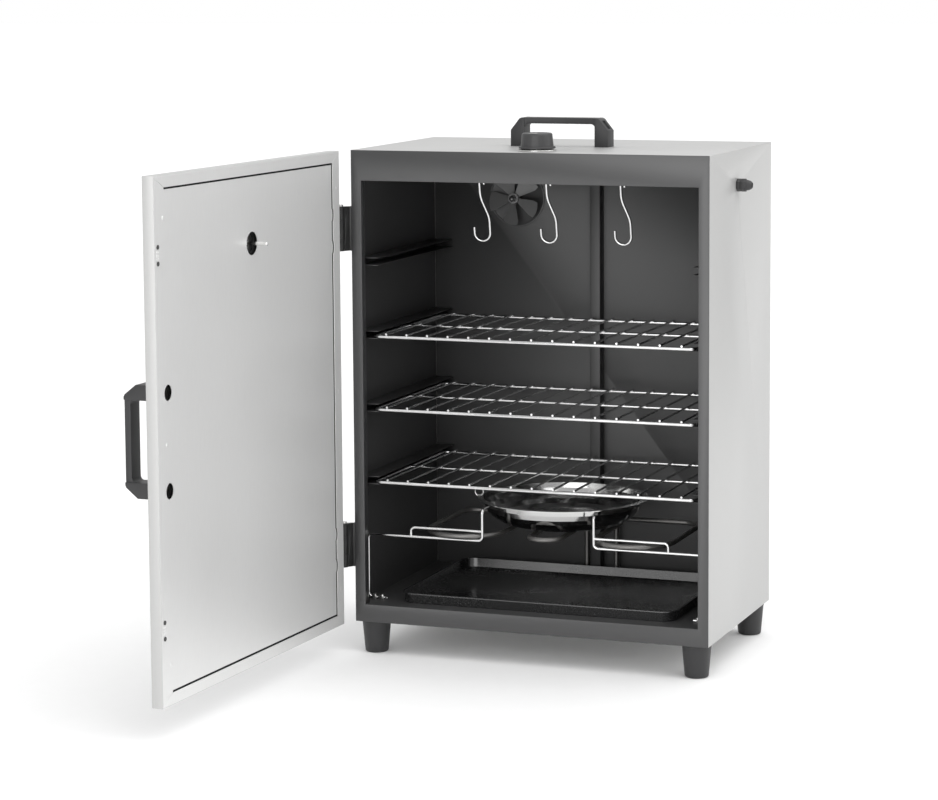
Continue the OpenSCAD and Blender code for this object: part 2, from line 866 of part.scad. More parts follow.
// ---------- handles ----------

// Bridge handle: its feet on z = 0, its length along X, a screw hole up into each foot
module bridge_handle() {
    half = handle_pitch / 2 + handle_foot / 2;
    inner = handle_pitch / 2 - handle_foot / 2;
    difference() {
        translate([0, handle_w / 2, 0])
            rotate([90, 0, 0])
                linear_extrude(handle_w)
                    difference() {
                        polygon([
                            [-half, 0], [-half, handle_h - handle_shoulder],
                            [-half + handle_shoulder * 0.72, handle_h - 1.5],
                            [-half + handle_shoulder * 0.72 + 3, handle_h],
                            [half - handle_shoulder * 0.72 - 3, handle_h],
                            [half - handle_shoulder * 0.72, handle_h - 1.5],
                            [half, handle_h - handle_shoulder], [half, 0]
                        ]);
                        translate([-inner, -1])
                            square([2 * inner, handle_h - handle_grip_t - 5 + 1]);
                        translate([-inner + 6, 1])
                            square([2 * inner - 12, handle_h - handle_grip_t - 1]);
                        for (side = [-1, 1])
                            translate([side * (inner - 6), handle_h - handle_grip_t - 6]) circle(6);
                    }
        for (side = [-1, 1]) {
            translate([side * handle_pitch / 2, 0, -1])
                cylinder(h = handle_screw_depth + 1, d = m5 + 2 * thread_gap);
            translate([side * (half - handle_shoulder * 0.36), 0, handle_h - handle_shoulder / 2 - 0.75])
                rotate([0, -side * 37, 0])
                    cube([5, handle_end_slot, handle_shoulder * 0.8], center = true);
        }
        for (side = [-1, 1])
            translate([0, side * (handle_w / 2 + 6), handle_h / 2])
                cube([2 * inner, 16, handle_h + 10], center = true);
    }
}

module top_handle() color("#303030")
    translate([0, front_y + top_handle_y, top_z]) bridge_handle();

module top_handle_screws() color("silver")
    for (side = [-1, 1])
        translate([side * handle_pitch / 2, front_y + top_handle_y, top_z - sheet])
            mirror([0, 0, 1]) pan_screw(m5, sheet + handle_screw_depth - 3);

// ---------- control on the top ----------

module control_knob() color("#303030")
    translate([0, front_y + knob_y, top_z + bezel_t + knob_lift])
        difference() {
            rotate_extrude()
                polygon([
                    [0, 0], [knob_d / 2 + 2, 0], [knob_d / 2 + 2, 1.4], [knob_d / 2, 2],
                    [knob_d / 2 - 2, knob_h - 2], [knob_d / 2 - 4, knob_h], [0, knob_h]
                ]);
            translate([0, 0, -1]) cylinder(h = 14, d = spindle_d + 2 * thread_gap);
            rotate([0, 0, 90])
                translate([knob_d / 2 - 9, -0.9, knob_h - 0.8]) cube([12, 1.8, 2]);
        }

module control_bezel() color("silver")
    translate([0, front_y + knob_y, top_z])
        difference() {
            cylinder(h = bezel_t, d = bezel_d);
            translate([0, 0, -1]) cylinder(h = bezel_t + 2, d = spindle_d + 4);
        }

module control_body() color("white")
    difference() {
        translate([-control_w / 2, front_y + knob_y - control_w / 2 + 8, control_z0])
            cube([control_w, control_w - 14, control_h]);
        translate([0, front_y + knob_y, spindle_z0])
            cylinder(h = control_h, d = spindle_d + 2 * running_gap);
    }

module control_spindle() color("silver")
    translate([0, front_y + knob_y, spindle_z0 + 0.3])
        cylinder(h = top_z + bezel_t + knob_lift + 12 - spindle_z0, d = spindle_d);

// ---------- cable gland ----------

module gland_frame() {
    translate([right_x, gland_py, gland_z]) rotate([0, 90, 0]) children();
}

module gland_body() color("black")
    gland_frame()
        difference() {
            union() {
                cylinder(h = gland_hex_t, d = gland_hex / cos(30), $fn = 6);
                translate([0, 0, -10]) cylinder(h = 20, d = gland_thread_d);
            }
            translate([0, 0, -11]) cylinder(h = 30, d = seal_d);
        }

module gland_cap() color("black")
    gland_frame()
        translate([0, 0, gland_hex_t + 0.5])
            difference() {
                union() {
                    cylinder(h = 7, d = gland_hex / cos(30), $fn = 6);
                    rotate_extrude()
                        polygon([[0, 0], [gland_cap_d / 2, 0], [gland_cap_d / 2, 9],
                                 [gland_cap_d / 2 - 1, 12.5], [gland_cap_d / 2 - 3, gland_cap_l],
                                 [0, gland_cap_l]]);
                }
                translate([0, 0, -1]) cylinder(h = 6, d = gland_thread_d + 2 * thread_gap);
                translate([0, 0, 4]) cylinder(h = 6, d = seal_d + 2 * thread_gap);
                translate([0, 0, -1]) cylinder(h = 30, d = cable_hole_d + 1);
            }

module gland_seal() color("#202020")
    gland_frame()
        translate([0, 0, gland_hex_t])
            difference() {
                cylinder(h = seal_l, d = seal_d - 2 * thread_gap);
                translate([0, 0, -1]) cylinder(h = seal_l + 2, d = cable_hole_d);
            }

module gland_locknut() color("black")
    gland_frame()
        translate([0, 0, -sheet - locknut_t])
            difference() {
                cylinder(h = locknut_t, d = gland_hex / cos(30), $fn = 6);
                translate([0, 0, -1])
                    cylinder(h = locknut_t + 2, d = gland_thread_d + 2 * thread_gap);
            }

// ---------- door ----------

// Outer pan of the door, with its flanges turned in round the back
module door_shell() color("silver")
    on_door()
        difference() {
            box([door_x0, door_out_y, base_z], [door_x1, door_in_y, top_z]);
            box([door_x0 + door_sheet, door_out_y + door_sheet, base_z + door_sheet],
                [door_x1 - door_sheet, door_in_y - door_sheet, top_z - door_sheet]);
            box([door_x0 + flange_hinge, door_in_y - 5, base_z + flange_end],
                [door_x1 - flange_free, door_in_y + 5, top_z - flange_end]);
            for (side = [-1, 1])
                translate([door_handle_x, door_out_y - 5, door_handle_z + side * handle_pitch / 2])
                    rotate([-90, 0, 0]) cylinder(h = 10, d = m5 + screw_clearance);
            translate([gauge_x, door_out_y - 5, gauge_z])
                rotate([-90, 0, 0]) cylinder(h = 10, d = stem_thread_d + 2 * thread_gap);
            for (z = magnet_z, s = [-1, 1])
                translate([magnet_x, door_in_y - 8, z + s * rivet_pitch / 2])
                    rotate([-90, 0, 0]) cylinder(h = 12, d = rivet_d + 2 * thread_gap);
            hinge_door_screw_places()
                translate([0, 0, -10]) cylinder(h = 20, d = m4 + screw_clearance);
        }

// Inner panel, with an open gap round three sides and its fourth side under the flange
module door_inner() color("gainsboro")
    on_door()
        difference() {
            box([panel_x0, door_in_y - 2 * door_sheet, panel_z0],
                [panel_x1, door_in_y - door_sheet, panel_z1]);
            for (side = [-1, 1])
                translate([door_handle_x, door_in_y - 9, door_handle_z + side * handle_pitch / 2])
                    rotate([-90, 0, 0]) cylinder(h = 18, d = access_hole_d);
            translate([gauge_x, door_in_y - 9, gauge_z])
                rotate([-90, 0, 0]) cylinder(h = 18, d = gauge_hole_d);
        }

module door_handle() color("#303030")
    on_door()
        translate([door_handle_x, door_out_y, door_handle_z])
            rotate([90, 0, 0]) rotate([0, 0, 90]) bridge_handle();

// Screws of the handle, put in from inside, and of the hinge leaves on the door's edge
module door_screws() color("silver")
    on_door() {
        for (side = [-1, 1])
            translate([door_handle_x, door_out_y + door_sheet, door_handle_z + side * handle_pitch / 2])
                rotate([-90, 0, 0]) pan_screw(m5, door_sheet + handle_screw_depth - 3);
        hinge_door_screw_places()
            translate([0, 0, leaf_t]) pan_screw(m4, leaf_t + door_sheet + 4);
    }

// Magnet block behind each end of the free-side flange, held by two rivets
module door_magnets() color("#404040")
    on_door()
        for (z = magnet_z) {
            box([magnet_x - magnet_w / 2, door_in_y - door_sheet - magnet_t, z - magnet_h / 2],
                [magnet_x + magnet_w / 2 - 1, door_in_y - door_sheet, z + magnet_h / 2]);
            for (s = [-1, 1])
                translate([magnet_x, door_in_y - door_sheet - 1, z + s * rivet_pitch / 2])
                    rotate([-90, 0, 0]) {
                        cylinder(h = door_sheet + 1, d = rivet_d);
                        translate([0, 0, door_sheet + 1]) cylinder(h = 0.7, d = rivet_d + 2.4);
                    }
        }

// ---------- thermometer ----------

module gauge_place(y) {
    on_door() translate([gauge_x, y, gauge_z]) rotate([90, 0, 0]) children();
}

// Case with its threaded neck and its stem behind the door
module thermometer_case() color("silver")
    gauge_place(door_out_y) {
        difference() {
            cylinder(h = gauge_t, d = gauge_d);
            translate([0, 0, gauge_floor_t]) cylinder(h = gauge_t, d = gauge_d - 2 * gauge_wall);
            translate([0, 0, gauge_floor_t - 1.5])
                cylinder(h = gauge_t, d = post_d + 2 * running_gap);
        }
        translate([0, 0, -door_sheet - gauge_nut_h - 2])
            cylinder(h = door_sheet + gauge_nut_h + 2, d = stem_thread_d);
        translate([0, 0, -door_t - stem_l])
            cylinder(h = door_t + stem_l - door_sheet - gauge_nut_h, d = stem_d);
        translate([0, 0, -door_t - stem_l]) sphere(d = stem_d);
    }

module thermometer_nut() color("silver")
    gauge_place(door_out_y + door_sheet)
        mirror([0, 0, 1])
            difference() {
                cylinder(h = gauge_nut_h, d = gauge_nut_af / cos(30), $fn = 6);
                translate([0, 0, -1])
                    cylinder(h = gauge_nut_h + 2, d = stem_thread_d + 2 * thread_gap);
            }

module thermometer_dial() color("white")
    gauge_place(door_out_y - gauge_floor_t)
        difference() {
            cylinder(h = dial_t, d = gauge_d - 2 * gauge_wall - 1);
            translate([0, 0, -1]) cylinder(h = dial_t + 2, d = post_d + 1);
        }

module thermometer_glass() color("lightblue", 0.4)
    gauge_place(door_out_y - gauge_t + glass_setback + glass_t)
        cylinder(h = glass_t, d = gauge_d - 2 * gauge_wall - 0.2);

// Pointer on its post, which turns in the case; it lies at the cold end of the scale
module thermometer_pointer() color("black")
    gauge_place(door_out_y - gauge_floor_t + 1.2) {
        cylinder(h = 5, d = post_d);
        translate([0, 0, 4]) rotate([0, 0, 135]) {
            cylinder(h = pointer_t, d = 6);
            linear_extrude(pointer_t)
                polygon([[-1.6, -7], [1.6, -7], [0.5, pointer_l], [-0.5, pointer_l]]);
        }
    }

// ---------- hinges ----------

module knuckle(z0, z1) {
    difference() {
        translate([hinge_x, hinge_y, z0]) cylinder(h = z1 - z0, d = barrel_d);
        translate([hinge_x, hinge_y, z0 - 1])
            cylinder(h = z1 - z0 + 2, d = hinge_pin_d + 2 * running_gap);
    }
}

// Screws of the two leaves: heads out, along X
module hinge_screw_places() {
    for (z = hinge_z, s = [-1, 1])
        translate([left_x, front_y + leaf_w * 0.55, z + s * hinge_h * 0.3])
            rotate([0, -90, 0]) children();
}

module hinge_door_screw_places() {
    for (z = hinge_z, s = [-1, 1])
        translate([left_x, door_in_y - door_t / 2 - 2, z + s * hinge_h * 0.36])
            rotate([0, -90, 0]) children();
}

// Leaf plates on the side panel, each with an upper and a lower knuckle.
// The web behind them runs the whole height and is cut back round the door's middle knuckle.
module hinge_cabinet_leaves() color("black")
    difference() {
        for (z = hinge_z) {
            box([left_x - leaf_t, front_y, z - hinge_h / 2],
                [left_x, front_y + leaf_w, z + hinge_h / 2]);
            knuckle(z - hinge_h / 2, z - middle_knuckle / 2 - knuckle_gap);
            knuckle(z + middle_knuckle / 2 + knuckle_gap, z + hinge_h / 2);
            difference() {
                translate([0, 0, z - hinge_h / 2])
                    linear_extrude(hinge_h)
                        polygon([
                            [hinge_x - barrel_d * 0.35, hinge_y + barrel_d * 0.35],
                            [hinge_x + barrel_d * 0.35, hinge_y - barrel_d * 0.1],
                            [left_x - leaf_t + 0.6, front_y - 0.1],
                            [left_x - leaf_t + 0.6, front_y + 4],
                            [left_x - leaf_t, front_y + 4]
                        ]);
                translate([hinge_x, hinge_y, z - hinge_h / 2 - 1])
                    cylinder(h = hinge_h + 2, d = hinge_pin_d + 2 * running_gap);
                translate([hinge_x, hinge_y, z - middle_knuckle / 2 - knuckle_gap])
                    cylinder(h = middle_knuckle + 2 * knuckle_gap, d = barrel_d + 2 * knuckle_gap);
            }
        }
        hinge_screw_places() translate([0, 0, -1]) cylinder(h = 20, d = m4 + 2 * thread_gap);
    }

// Leaf plates on the door's edge, each with the middle knuckle
module hinge_door_leaves() color("black")
    on_door()
        difference() {
            for (z = hinge_z) {
                box([left_x - leaf_t, door_out_y + 1.5, z - hinge_h / 2],
                    [left_x, door_in_y - 4, z + hinge_h / 2]);
                knuckle(z - middle_knuckle / 2, z + middle_knuckle / 2);
                difference() {
                    box([hinge_x, hinge_y - leaf_t, z - middle_knuckle / 2],
                        [left_x - leaf_t + 0.5, hinge_y, z + middle_knuckle / 2]);
                    translate([hinge_x, hinge_y, z - middle_knuckle / 2 - 1])
                        cylinder(h = middle_knuckle + 2, d = barrel_d - 2);
                }
            }
            hinge_door_screw_places()
                translate([0, 0, -1]) cylinder(h = 20, d = m4 + 2 * thread_gap);
        }

module hinge_pins() color("silver")
    for (z = hinge_z) {
        translate([hinge_x, hinge_y, z - hinge_h / 2]) cylinder(h = hinge_h + 0.2, d = hinge_pin_d);
        translate([hinge_x, hinge_y, z + hinge_h / 2 + 0.2])
            cylinder(h = pin_head_h, d = hinge_pin_d + 3);
    }

module hinge_screws() color("black")
    hinge_screw_places()
        translate([0, 0, leaf_t]) pan_screw(m4, leaf_t + sheet + 4);

side_left();
side_right();
top_panel();
back_panel();
base_panel();
floor_panel();
ceiling_panel();
front_frame();
back_channel();
runners(0);  // runners_1
runners(1);  // runners_2
runners(2);  // runners_3
runners(3);  // runners_4
foot(-1, -1);  // foot_front_left
foot(1, -1);  // foot_front_right
foot(-1, 1);  // foot_rear_left
foot(1, 1);  // foot_rear_right
foot_screws();
rack(0);  // rack_lower
rack(1);  // rack_middle
rack(2);  // rack_upper
drip_tray();
water_bowl();
bowl_guard();
guard_clips();
heater();
heater_plate();
hanging_rod();
rod_sockets();
hook(hook_x[0]);  // hook_left
hook(hook_x[1]);  // hook_middle
hook(hook_x[2]);  // hook_right
fan_rotor();
fan_shaft();
fan_motor();
motor_cover();
top_handle();
top_handle_screws();
control_knob();
control_bezel();
control_body();
control_spindle();
gland_body();
gland_cap();
gland_seal();
gland_locknut();
door_shell();
door_inner();
door_handle();
door_screws();
door_magnets();
thermometer_case();
thermometer_glass();
thermometer_dial();
thermometer_pointer();
thermometer_nut();
hinge_cabinet_leaves();
hinge_door_leaves();
hinge_pins();
hinge_screws();
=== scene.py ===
import json
import math

import bmesh
import bpy
from mathutils import Matrix, Vector


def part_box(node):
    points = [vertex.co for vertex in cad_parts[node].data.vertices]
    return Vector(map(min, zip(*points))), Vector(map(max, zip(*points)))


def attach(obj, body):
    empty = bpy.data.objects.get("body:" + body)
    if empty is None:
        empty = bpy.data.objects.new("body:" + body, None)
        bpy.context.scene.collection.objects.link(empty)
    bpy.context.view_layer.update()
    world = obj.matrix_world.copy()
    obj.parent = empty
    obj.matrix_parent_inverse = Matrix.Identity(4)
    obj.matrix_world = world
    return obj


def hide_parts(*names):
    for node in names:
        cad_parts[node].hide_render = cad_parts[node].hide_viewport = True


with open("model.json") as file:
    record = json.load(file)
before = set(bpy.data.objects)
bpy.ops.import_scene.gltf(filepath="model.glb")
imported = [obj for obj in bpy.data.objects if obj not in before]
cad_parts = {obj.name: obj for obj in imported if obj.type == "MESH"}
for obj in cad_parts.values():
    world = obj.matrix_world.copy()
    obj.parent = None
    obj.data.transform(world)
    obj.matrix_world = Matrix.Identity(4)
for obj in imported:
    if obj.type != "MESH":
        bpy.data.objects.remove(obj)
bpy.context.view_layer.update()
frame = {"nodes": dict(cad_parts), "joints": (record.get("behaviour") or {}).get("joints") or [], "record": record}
NODES = frame["nodes"]
JOINTS = {j["name"]: j for j in frame["joints"]}


# ---------------------------------------------------------------- materials

def link(tree, a, b):
    tree.links.new(a, b)


def noise(tree, vector, scale, detail=3.0, rough=0.5):
    n = tree.nodes.new("ShaderNodeTexNoise")
    n.inputs["Scale"].default_value = scale
    n.inputs["Detail"].default_value = detail
    n.inputs["Roughness"].default_value = rough
    link(tree, vector, n.inputs["Vector"])
    return n


def surface(name, color, metallic=0.0, rough=0.4, vary=0.08, blotch=5.0, grain=900.0,
            stretch=(1, 1, 1), bump=0.06, rough_vary=0.08, coat=0.0, specular=0.5,
            speck=0.0, distance=0.0002):
    """Procedural finish: broad tone changes, fine grain, roughness changes and a small bump."""
    m = bpy.data.materials.new(name)
    m.use_nodes = True
    t = m.node_tree
    b = t.nodes["Principled BSDF"]
    b.inputs["Metallic"].default_value = metallic
    b.inputs["Specular IOR Level"].default_value = specular
    b.inputs["Coat Weight"].default_value = coat
    b.inputs["Coat Roughness"].default_value = 0.18
    coord = t.nodes.new("ShaderNodeTexCoord")
    mapping = t.nodes.new("ShaderNodeMapping")
    mapping.inputs["Scale"].default_value = stretch
    link(t, coord.outputs["Object"], mapping.inputs["Vector"])
    broad = noise(t, coord.outputs["Object"], blotch, 3.0)
    fine = noise(t, mapping.outputs["Vector"], grain, 2.0, 0.6)

    mix = t.nodes.new("ShaderNodeMath")
    mix.operation = "MULTIPLY_ADD"
    mix.inputs[1].default_value = 0.45
    link(t, fine.outputs["Fac"], mix.inputs[0])
    half = t.nodes.new("ShaderNodeMath")
    half.operation = "MULTIPLY"
    half.inputs[1].default_value = 0.55
    link(t, broad.outputs["Fac"], half.inputs[0])
    link(t, half.outputs[0], mix.inputs[2])
    ramp = t.nodes.new("ShaderNodeValToRGB")
    ramp.color_ramp.elements[0].position = 0.3
    ramp.color_ramp.elements[1].position = 0.7
    low = [max(0.0, c * (1 - vary)) for c in color]
    high = [min(1.0, c * (1 + vary)) for c in color]
    ramp.color_ramp.elements[0].color = (*low, 1)
    ramp.color_ramp.elements[1].color = (*high, 1)
    link(t, mix.outputs[0], ramp.inputs["Fac"])
    out = ramp.outputs["Color"]
    if speck:
        dots = t.nodes.new("ShaderNodeTexVoronoi")
        dots.inputs["Scale"].default_value = 420.0
        link(t, coord.outputs["Object"], dots.inputs["Vector"])
        cut = t.nodes.new("ShaderNodeMapRange")
        cut.inputs["From Min"].default_value = 0.05
        cut.inputs["From Max"].default_value = 0.12
        cut.inputs["To Min"].default_value = speck
        cut.inputs["To Max"].default_value = 0.0
        link(t, dots.outputs["Distance"], cut.inputs["Value"])
        over = t.nodes.new("ShaderNodeMix")
        over.data_type = "RGBA"
        over.inputs["B"].default_value = (0.35, 0.35, 0.35, 1)
        link(t, cut.outputs[0], over.inputs["Factor"])
        link(t, out, over.inputs["A"])
        out = over.outputs["Result"]
    link(t, out, b.inputs["Base Color"])

    r = t.nodes.new("ShaderNodeMapRange")
    r.inputs["From Min"].default_value = 0.25
    r.inputs["From Max"].default_value = 0.75
    r.inputs["To Min"].default_value = max(0.02, rough - rough_vary)
    r.inputs["To Max"].default_value = min(1.0, rough + rough_vary)
    link(t, mix.outputs[0], r.inputs["Value"])
    link(t, r.outputs[0], b.inputs["Roughness"])

    bp = t.nodes.new("ShaderNodeBump")
    bp.inputs["Strength"].default_value = bump
    bp.inputs["Distance"].default_value = distance
    link(t, fine.outputs["Fac"], bp.inputs["Height"])
    link(t, bp.outputs["Normal"], b.inputs["Normal"])
    return m


def radial_steel(name, color, centre, rough):
    """Spun metal: fine rings round a vertical axis."""
    m = surface(name, color, metallic=1.0, rough=rough, vary=0.05, blotch=9, bump=0.02)
    t = m.node_tree
    b = t.nodes["Principled BSDF"]
    coord = t.nodes.new("ShaderNodeTexCoord")
    move = t.nodes.new("ShaderNodeVectorMath")
    move.operation = "SUBTRACT"
    move.inputs[1].default_value = centre
    link(t, coord.outputs["Object"], move.inputs[0])
    wave = t.nodes.new("ShaderNodeTexWave")
    wave.wave_type = "RINGS"
    wave.rings_direction = "Z"
    wave.inputs["Scale"].default_value = 260.0
    wave.inputs["Distortion"].default_value = 1.5
    wave.inputs["Detail"].default_value = 3.0
    link(t, move.outputs[0], wave.inputs["Vector"])
    bp = t.nodes.new("ShaderNodeBump")
    bp.inputs["Strength"].default_value = 0.05
    bp.inputs["Distance"].default_value = 0.0001
    link(t, wave.outputs["Fac"], bp.inputs["Height"])
    link(t, bp.outputs["Normal"], b.inputs["Normal"])
    return m


MATS = {
    "outer_steel": surface("outer_steel", (0.50, 0.50, 0.495), metallic=0.35, rough=0.42, vary=0.02,
                           blotch=3, grain=55, stretch=(1, 1, 14), bump=0.02, rough_vary=0.05),
    "door_steel": surface("door_steel", (0.74, 0.74, 0.735), metallic=0.35, rough=0.36, vary=0.03,
                          blotch=3.5, grain=60, stretch=(12, 12, 1), bump=0.03, rough_vary=0.05),
    "frame_steel": surface("frame_steel", (0.034, 0.034, 0.035), metallic=0.0, rough=0.36, vary=0.08,
                           blotch=6, grain=1400, bump=0.05, rough_vary=0.05, specular=0.9),
    "chamber_steel": surface("chamber_steel", (0.032, 0.032, 0.0325), metallic=0.0, rough=0.52, vary=0.10,
                             blotch=5, grain=1100, bump=0.05, rough_vary=0.05, specular=0.9),
    "runner_steel": surface("runner_steel", (0.026, 0.026, 0.0265), metallic=0.0, rough=0.32, vary=0.10,
                            blotch=12, grain=900, bump=0.05, specular=0.9),
    "chrome_wire": surface("chrome_wire", (0.72, 0.72, 0.72), metallic=1.0, rough=0.10, vary=0.05,
                           blotch=30, grain=700, bump=0.03, rough_vary=0.05),
    "bowl_steel": radial_steel("bowl_steel", (0.62, 0.62, 0.615), (0, -0.007, 0.17), 0.12),
    "tray_enamel": surface("tray_enamel", (0.011, 0.011, 0.0115), rough=0.26, vary=0.25, blotch=9,
                           grain=600, bump=0.08, rough_vary=0.06, coat=0.6, specular=0.9, speck=0.03),
    "heater_tube": surface("heater_tube", (0.20, 0.195, 0.19), metallic=0.85, rough=0.42, vary=0.28,
                           blotch=14, grain=700, bump=0.10, rough_vary=0.10),
    "black_plastic": surface("black_plastic", (0.030, 0.030, 0.031), rough=0.46, vary=0.12, blotch=18,
                             grain=1500, bump=0.16, rough_vary=0.06),
    "foot_plastic": surface("foot_plastic", (0.028, 0.028, 0.029), rough=0.50, vary=0.12, blotch=20,
                            grain=1300, bump=0.16, rough_vary=0.06),
    "knob_plastic": surface("knob_plastic", (0.045, 0.045, 0.046), rough=0.42, vary=0.10, blotch=25,
                            grain=1600, bump=0.12, rough_vary=0.05),
    "white_plastic": surface("white_plastic", (0.72, 0.72, 0.69), rough=0.5, vary=0.04, grain=1200, bump=0.1),
    "seal_rubber": surface("seal_rubber", (0.02, 0.02, 0.02), rough=0.7, vary=0.15, grain=1100, bump=0.25),
    "zinc_screw": surface("zinc_screw", (0.66, 0.655, 0.64), metallic=1.0, rough=0.26, vary=0.08,
                          blotch=60, grain=1500, bump=0.05),
    "black_screw": surface("black_screw", (0.02, 0.02, 0.02), metallic=0.3, rough=0.35, vary=0.2,
                           blotch=80, grain=1500, bump=0.06),
    "hinge_black": surface("hinge_black", (0.012, 0.012, 0.012), rough=0.38, vary=0.2, blotch=30,
                           grain=1300, bump=0.12),
    "fan_alloy": surface("fan_alloy", (0.20, 0.20, 0.20), metallic=0.35, rough=0.48, vary=0.06,
                         blotch=20, grain=500, stretch=(1, 1, 6), bump=0.04),
    "motor_metal": surface("motor_metal", (0.16, 0.16, 0.16), metallic=0.8, rough=0.35, vary=0.12,
                           blotch=30, grain=900, bump=0.06),
    "magnet_black": surface("magnet_black", (0.05, 0.05, 0.05), rough=0.5, vary=0.1, grain=1000, bump=0.1),
    "gauge_steel": surface("gauge_steel", (0.68, 0.68, 0.67), metallic=1.0, rough=0.18, vary=0.04,
                           blotch=20, grain=900, bump=0.03),
    "gauge_dial": surface("gauge_dial", (0.80, 0.80, 0.78), rough=0.55, vary=0.02, grain=1500, bump=0.03),
    "gauge_pointer": surface("gauge_pointer", (0.30, 0.02, 0.015), rough=0.4, vary=0.08, grain=1500,
                             bump=0.05),
    "dial_ink": surface("dial_ink", (0.015, 0.015, 0.015), rough=0.6, vary=0.15, grain=1500, bump=0.02),
    # painted shade: a near-black finish that stands for the shade in the hollow door behind the inner panel's gap
    "painted_gap_shade": surface("painted_gap_shade", (0.012, 0.012, 0.012), rough=0.7, vary=0.2, grain=900, bump=0.05),
}


def make_glass():
    m = bpy.data.materials.new("gauge_glass")
    m.use_nodes = True
    t = m.node_tree
    b = t.nodes["Principled BSDF"]
    b.inputs["Base Color"].default_value = (0.93, 0.95, 0.95, 1)
    b.inputs["Transmission Weight"].default_value = 1.0
    b.inputs["IOR"].default_value = 1.45
    coord = t.nodes.new("ShaderNodeTexCoord")
    n = noise(t, coord.outputs["Object"], 60.0)
    r = t.nodes.new("ShaderNodeMapRange")
    r.inputs["To Min"].default_value = 0.01
    r.inputs["To Max"].default_value = 0.05
    link(t, n.outputs["Fac"], r.inputs["Value"])
    link(t, r.outputs[0], b.inputs["Roughness"])
    return m


MATS["gauge_glass"] = make_glass()


# Every CAD node takes the finish of its slot
SLOT = {s["node"]: s["material_slot"] for s in frame["record"]["subparts"]}
BODY = {n: b for b, ns in frame["record"]["behaviour"]["bodies"].items() for n in ns}
for name, obj in NODES.items():
    for i in range(len(obj.material_slots)):
        obj.material_slots[i].material = MATS[SLOT[name]]


# ---------------------------------------------------------------- mesh helpers

SHARP_ANGLE = 42


def shade_smooth(mesh, angle):
    """Smooth shading that stays sharp across edges steeper than an angle in degrees."""
    for p in mesh.polygons:
        p.use_smooth = True
    mesh.set_sharp_from_angle(angle=math.radians(angle))


def new_object(name, bm, mat, body, smooth=True, angle=35):
    mesh = bpy.data.meshes.new(name)
    bmesh.ops.recalc_face_normals(bm, faces=bm.faces)
    bm.to_mesh(mesh)
    bm.free()
    o = bpy.data.objects.new(name, mesh)
    bpy.context.scene.collection.objects.link(o)
    mesh.materials.append(MATS[mat])
    if smooth:
        shade_smooth(mesh, angle)
    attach(o, body)
    return o


def softened(node, width):
    """The CAD node's own shape with its sharp edges rounded, standing for that node."""
    bm = bmesh.new()
    bm.from_mesh(NODES[node].data)
    bmesh.ops.remove_doubles(bm, verts=bm.verts, dist=0.00002)
    bmesh.ops.dissolve_limit(bm, angle_limit=math.radians(0.6), verts=bm.verts, edges=bm.edges)
    o = new_object(node + "_finish", bm, SLOT[node], BODY[node], smooth=False)
    bevelled(o, width, 2, 40)
    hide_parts(node)


def apply_modifiers(o):
    dg = bpy.context.evaluated_depsgraph_get()
    dg.update()
    mesh = bpy.data.meshes.new_from_object(o.evaluated_get(dg))
    o.modifiers.clear()
    old = o.data
    o.data = mesh
    bpy.data.meshes.remove(old)
    o.data.name = o.name


def lathe(bm, profile, matrix, steps=64):
    """Turns a list of (radius, height) points round the local Z axis."""
    rings = []
    for i in range(steps):
        a = 2 * math.pi * i / steps
        ring = []
        for r, h in profile:
            ring.append(bm.verts.new(matrix @ Vector((r * math.cos(a), r * math.sin(a), h))))
        rings.append(ring)
    n = len(profile)
    for i in range(steps):
        p, q = rings[i], rings[(i + 1) % steps]
        for k in range(n - 1):
            bm.faces.new((p[k], p[k + 1], q[k + 1], q[k]))
    bmesh.ops.remove_doubles(bm, verts=bm.verts, dist=0.000004)


def prism(bm, outline, z0, z1, matrix):
    """Extrudes a closed outline of (x, y) points from z0 to z1."""
    low = [bm.verts.new(matrix @ Vector((x, y, z0))) for x, y in outline]
    top = [bm.verts.new(matrix @ Vector((x, y, z1))) for x, y in outline]
    bm.faces.new(low)
    bm.faces.new(list(reversed(top)))
    n = len(outline)
    for i in range(n):
        bm.faces.new((low[i], top[i], top[(i + 1) % n], low[(i + 1) % n]))


CIRCLE_POINTS = 64


def circle(cx, cy, r):
    points = []
    for i in range(CIRCLE_POINTS):
        a = math.radians(360 * i / CIRCLE_POINTS)
        points.append((cx + r * math.cos(a), cy + r * math.sin(a)))
    return points


def bevelled(o, width, segments, angle=35):
    """Rounds the edges of a piece that are steeper than an angle in degrees."""
    mod = o.modifiers.new("round", "BEVEL")
    mod.width = width
    mod.segments = segments
    mod.limit_method = "ANGLE"
    mod.angle_limit = math.radians(angle)
    apply_modifiers(o)
    shade_smooth(o.data, SHARP_ANGLE)


# ---------------------------------------------------------------- the door's own place

DOOR_J = JOINTS["door_swing"]
OPEN = math.radians(DOOR_J["range_deg"][1])
HINGE = Vector(DOOR_J["pos_m"])
SWING = Matrix.Translation(HINGE) @ Matrix.Rotation(-OPEN, 4, "Z") @ Matrix.Translation(-HINGE)
UNSWING = SWING.inverted()

# Turns a flat drawing, x across and y up, to stand upright with its z towards the front
UPRIGHT = Matrix(((1, 0, 0, 0), (0, 0, -1, 0), (0, 1, 0, 0), (0, 0, 0, 1)))


def closed_box(node):
    """Lowest and highest corner of a door node with the door swung shut."""
    lo = Vector((1e9,) * 3)
    hi = Vector((-1e9,) * 3)
    for v in NODES[node].data.vertices:
        p = UNSWING @ v.co
        lo = Vector(map(min, lo, p))
        hi = Vector(map(max, hi, p))
    return lo, hi


# ---------------------------------------------------------------- camera, floor and light

